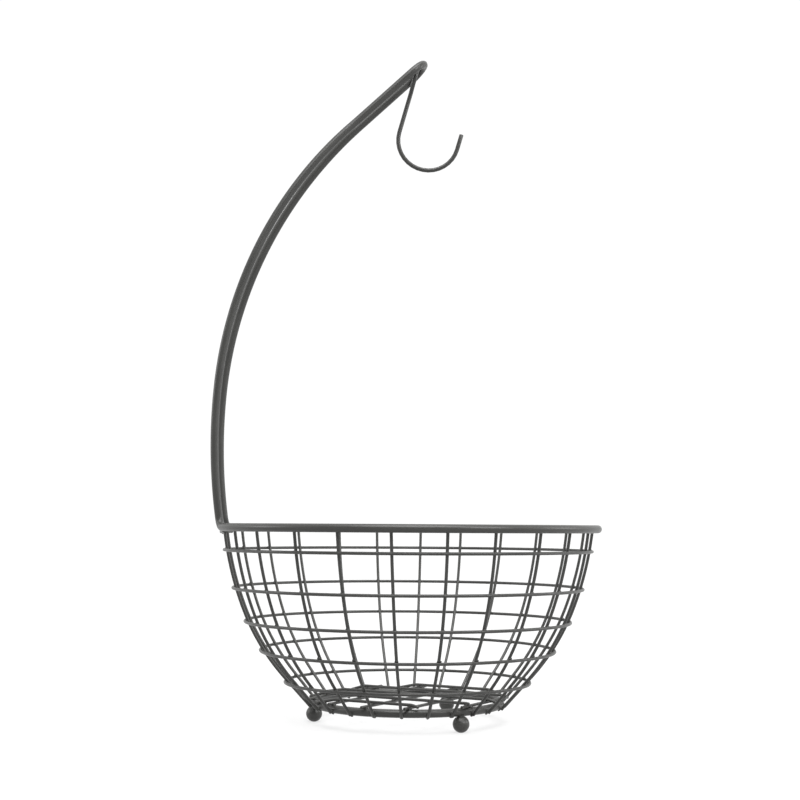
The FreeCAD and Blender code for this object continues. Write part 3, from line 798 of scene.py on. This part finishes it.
hook_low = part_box("hook")[0]
hook_middle = Vector((hook_low.x, 0, hook_low.z)) + Vector((1, 0, 1)) * (HOOK_BEND + HOOK_WIRE / 2)
arm_tip = hook_middle - across.cross(arm_down) * HOOK_BEND - arm_down * ARM_RUN
start_wire("hook_coated", HOOK_WIRE, arm_tip, arm_down, HOOK_SIDES)
eye_begin = follow(arm_tip, arm_down, [
    ARM_RUN, (Vector((-1, 0, 0)), HOOK_BEND), (up, HOOK_BEND), SHANK_RUN, (round_the_eye(0, 0), NECK_BEND)])
eye_end = follow(eye_begin, round_the_eye(0, 0), [
    (round_the_eye(EYE_TURNS[0], 0), EYE_RADIUS),
    (round_the_eye(EYE_TURNS[1], EYE_ROLL / 3), EYE_RADIUS),
    (round_the_eye(EYE_TURNS[2], EYE_ROLL), EYE_RADIUS)])
dress(cut_ends(), "hook")
print("eye begins and ends at, mm:", [[round(v / MM, 1) for v in p] for p in (eye_begin, eye_end)])

# %% [markdown]
# ## Welds
#
# Crossed wires are welded by pressing them together with a large current. They sink into each other a
# little, and a small nugget is squeezed out at the corners of each crossing, which the coat then rounds
# off. A nugget is a flattened, slightly uneven ball. It repeats about two hundred times, so it has few
# faces. Each copy gets its own turn and size from a seeded generator, and those of one ring are joined.

# %% Weld nuggets
UNEVEN = 0.07                   # of a nugget's radius
LEAST_SWELL, MOST_SWELL = 0.88, 1.14

random.seed(7)
bpy.ops.object.select_all(action="DESELECT")
bpy.ops.mesh.primitive_ico_sphere_add(subdivisions=2, radius=1.0, location=(0, 0, 0))
nugget = bpy.context.object
nugget.name = "nugget"
bpy.ops.object.mode_set(mode="EDIT")
bpy.ops.mesh.select_all(action="SELECT")
bpy.ops.transform.vertex_random(offset=UNEVEN, uniform=0.5, normal=0.5, seed=5)
leave_edit()
nugget_mesh = nugget.data
bpy.ops.object.delete()
print("a nugget has", len(nugget_mesh.polygons), "faces")


def weld_group(name, spots):
    """Joins a nugget at every spot: its place, two headings in the seam and the half sizes."""
    bpy.ops.object.select_all(action="DESELECT")
    for place, along, normal, half_sizes in spots:
        along, normal = along.normalized(), normal.normalized()
        frame_of = Matrix((along, normal.cross(along), normal)).transposed().to_4x4()
        swell = [half * random.uniform(LEAST_SWELL, MOST_SWELL) for half in half_sizes]
        spin = Matrix.Rotation(random.choice((0, math.pi)), 4, "Z")
        bead = bpy.data.objects.new(name, nugget_mesh.copy())
        bead.data.transform(Matrix.Translation(place) @ frame_of @ spin @ Matrix.Diagonal((*swell, 1)))
        bpy.context.scene.collection.objects.link(bead)
        bead.select_set(True)
        bpy.context.view_layer.objects.active = bead
    bpy.ops.object.join()
    dress(bpy.context.object)
    print(name, "has", len(spots))

# %% [markdown]
# A hoop crosses every rib, and the seam lies between the two wires. It slants as the rib does there, so
# the direction square to the rib is worked out from the height. One spot is found in the plane of the
# X axis and then turned to each rib's angle.

# %% Welds on the hoops
CROSSING = (1.55 * MM, 1.55 * MM, 0.75 * MM)    # half sizes of a nugget between two wires
UPPER_REACH = RIB_UPPER_BEND + WIRE + WELD_GAP
LOWER_REACH = RIB_LOWER_BEND + WIRE + WELD_GAP


def round_bowl(point, angle):
    """A point of the XZ plane, turned about the bowl's axis."""
    return Matrix.Rotation(angle, 3, "Z") @ point


def rib_normal(height):
    """Square to the rib at that height, away from the bowl."""
    if height > RIM_HEIGHT - RIB_JOINT_DEPTH:
        lean = math.asin((upper_centre.z - height) / UPPER_REACH)
    elif height > knee.z:
        lean = math.asin(min(1, (lower_centre.z - height) / LOWER_REACH))
    else:
        lean = RIB_FOOT
    return outwards(lean)


all_ribs = range(RIB_COUNT)
bridged = [number for number in all_ribs if abs(rib_angles[number] - math.pi) < BRIDGE_ANGLE / 2]
rimmed = [number for number in all_ribs if number not in bridged]
for name in HOOPS:
    hoop_radius, hoop_height = ring_of(name)
    normal = rib_normal(hoop_height)
    spot = Vector((hoop_radius, 0, hoop_height)) - normal * (WIRE + WELD_GAP) / 2
    angles = [rib_at(number, hoop_radius, hoop_height) for number in all_ribs]
    weld_group(f"{name}_welds", [
        (round_bowl(spot, angle), round_bowl(Vector((0, 1, 0)), angle), round_bowl(normal, angle), CROSSING)
        for angle in angles])

# %% [markdown]
# Where a wire meets a rod the weld is longer and lies in the corner between them. The ribs are welded
# to the inside of the rim and to the outside of the base ring. The two ribs between the legs have no rim
# to hold them, so they are welded to the bridge wire, whose own ends are welded under the rim.

# %% Welds on the rods
TO_ROD = (1.5 * MM, 2.3 * MM, 1.0 * MM)     # half sizes of a nugget between a wire and a rod
RIM_WELD_DROP = 0.4 * MM        # a rib's weld lies a little under the rim's centre
END_BACK = math.radians(1.3)    # from the end of the bridge wire to its weld

side = Vector((0, 1, 0))
rim_spot = Vector((RIM_RADIUS - ROD / 2, 0, RIM_HEIGHT - RIM_WELD_DROP))
weld_group("rim_welds", [
    (round_bowl(rim_spot, angle), round_bowl(side, angle), round_bowl(outwards(0), angle), TO_ROD)
    for angle in (rib_at(number, RIM_RADIUS, RIM_HEIGHT) for number in rimmed)])
ring_spot = Vector((BASE_RADIUS, 0, BASE_HEIGHT)) + outwards(RIB_FOOT) * ROD / 2
weld_group("base_ring_welds", [
    (round_bowl(ring_spot, angle), round_bowl(side, angle), round_bowl(outwards(RIB_FOOT), angle), TO_ROD)
    for angle in (rib_at(number, BASE_RADIUS, BASE_HEIGHT) for number in all_ribs)])

bridge_spot = Vector((BRIDGE_RADIUS - (WIRE + WELD_GAP) / 2, 0, bridge_height))
under_rim = Vector((RIM_RADIUS, 0, RIM_HEIGHT)) - Vector((BRIDGE_RADIUS, 0, bridge_height))
rim_touch = Vector((BRIDGE_RADIUS, 0, bridge_height)) + under_rim.normalized() * WIRE / 2
end_angles = [math.pi + turn * (BRIDGE_ANGLE / 2 - END_BACK) for turn in (-1, 1)]
weld_group("bridge_welds", [
    (round_bowl(bridge_spot, angle), round_bowl(side, angle), round_bowl(outwards(0), angle), CROSSING)
    for angle in (rib_at(number, BRIDGE_RADIUS, bridge_height) for number in bridged)] + [
    (round_bowl(rim_touch, angle), round_bowl(under_rim.cross(side), angle), round_bowl(under_rim, angle),
     TO_ROD)
    for angle in end_angles])

# %% [markdown]
# The floor has three kinds of weld: each lower wire on the base ring, each crossing of the two layers,
# and each upper end that comes down on the ring. The places were all worked out with the wires.

# %% Welds in the floor
upright = Vector((0, 0, 1))
lengthwise = floor_turned @ Vector((0, 1, 0))
spots = []
for offset in lower_offsets:
    for end in (-1, 1):
        place = Vector((offset, end * chord(BASE_RADIUS, offset), lower_height - WIRE / 2))
        spots.append((floor_turned @ place, lengthwise, upright, TO_ROD))
    for crossed in upper_offsets:
        if abs(crossed) < chord(upper_reach, abs(offset) + WIRE / 2):
            place = Vector((offset, crossed, (lower_height + upper_height) / 2))
            spots.append((floor_turned @ place, lengthwise, upright, CROSSING))
for place in landings:
    spots.append((place, lengthwise, upright, TO_ROD))
weld_group("floor_welds", spots)

# %% [markdown]
# The hook's eye nests in the mast's tip and touches it left and right. To find that touch, points are
# set along both centre lines, and the nearest two are taken. The weld there is small. In the photograph
# only a slight thickening shows.

# %% Welds at the hook
CIRCLE_STEP = 3                 # degrees between the points
LEG_POINTS = 20                 # a millimetre apart, down from the tip's bend
TO_LEG = (0.9 * MM, 0.8 * MM, 0.4 * MM)

eye_middle = eye_begin + (up * math.sin(neck_turn) + across * math.cos(neck_turn)) * EYE_RADIUS
circle = [math.radians(step) for step in range(0, 360, CIRCLE_STEP)]
eye_line = [eye_middle + (across * math.cos(a) + up * math.sin(a)) * EYE_RADIUS for a in circle]
bend_middle = Vector((tip.x, 0, tip.z)) - tip_way * TIP_BEND
tip_line = [bend_middle + (across * math.cos(a) + tip_way * math.sin(a)) * TIP_BEND
            for a in circle if a < math.pi]
tip_line += [bend_middle + across * TIP_BEND - tip_way * step * MM for step in range(LEG_POINTS)]
near = min(((p - q).length, i, j) for i, p in enumerate(eye_line) for j, q in enumerate(tip_line)
           if p.y > 0 and q.y > 0)
print("eye to mast, mm:", round(near[0] / MM, 2), "wires, mm:", round((ROD + HOOK_WIRE) / 2 / MM, 2))
touching, carrying = eye_line[near[1]], tip_line[near[2]]
inward = (touching - carrying).normalized()
place = carrying + inward * ROD / 2
flip = Vector((1, -1, 1))       # the same place on the other leg
weld_group("hook_welds", [
    (place, up, inward, TO_LEG),
    (place * flip, up, inward * flip, TO_LEG)])
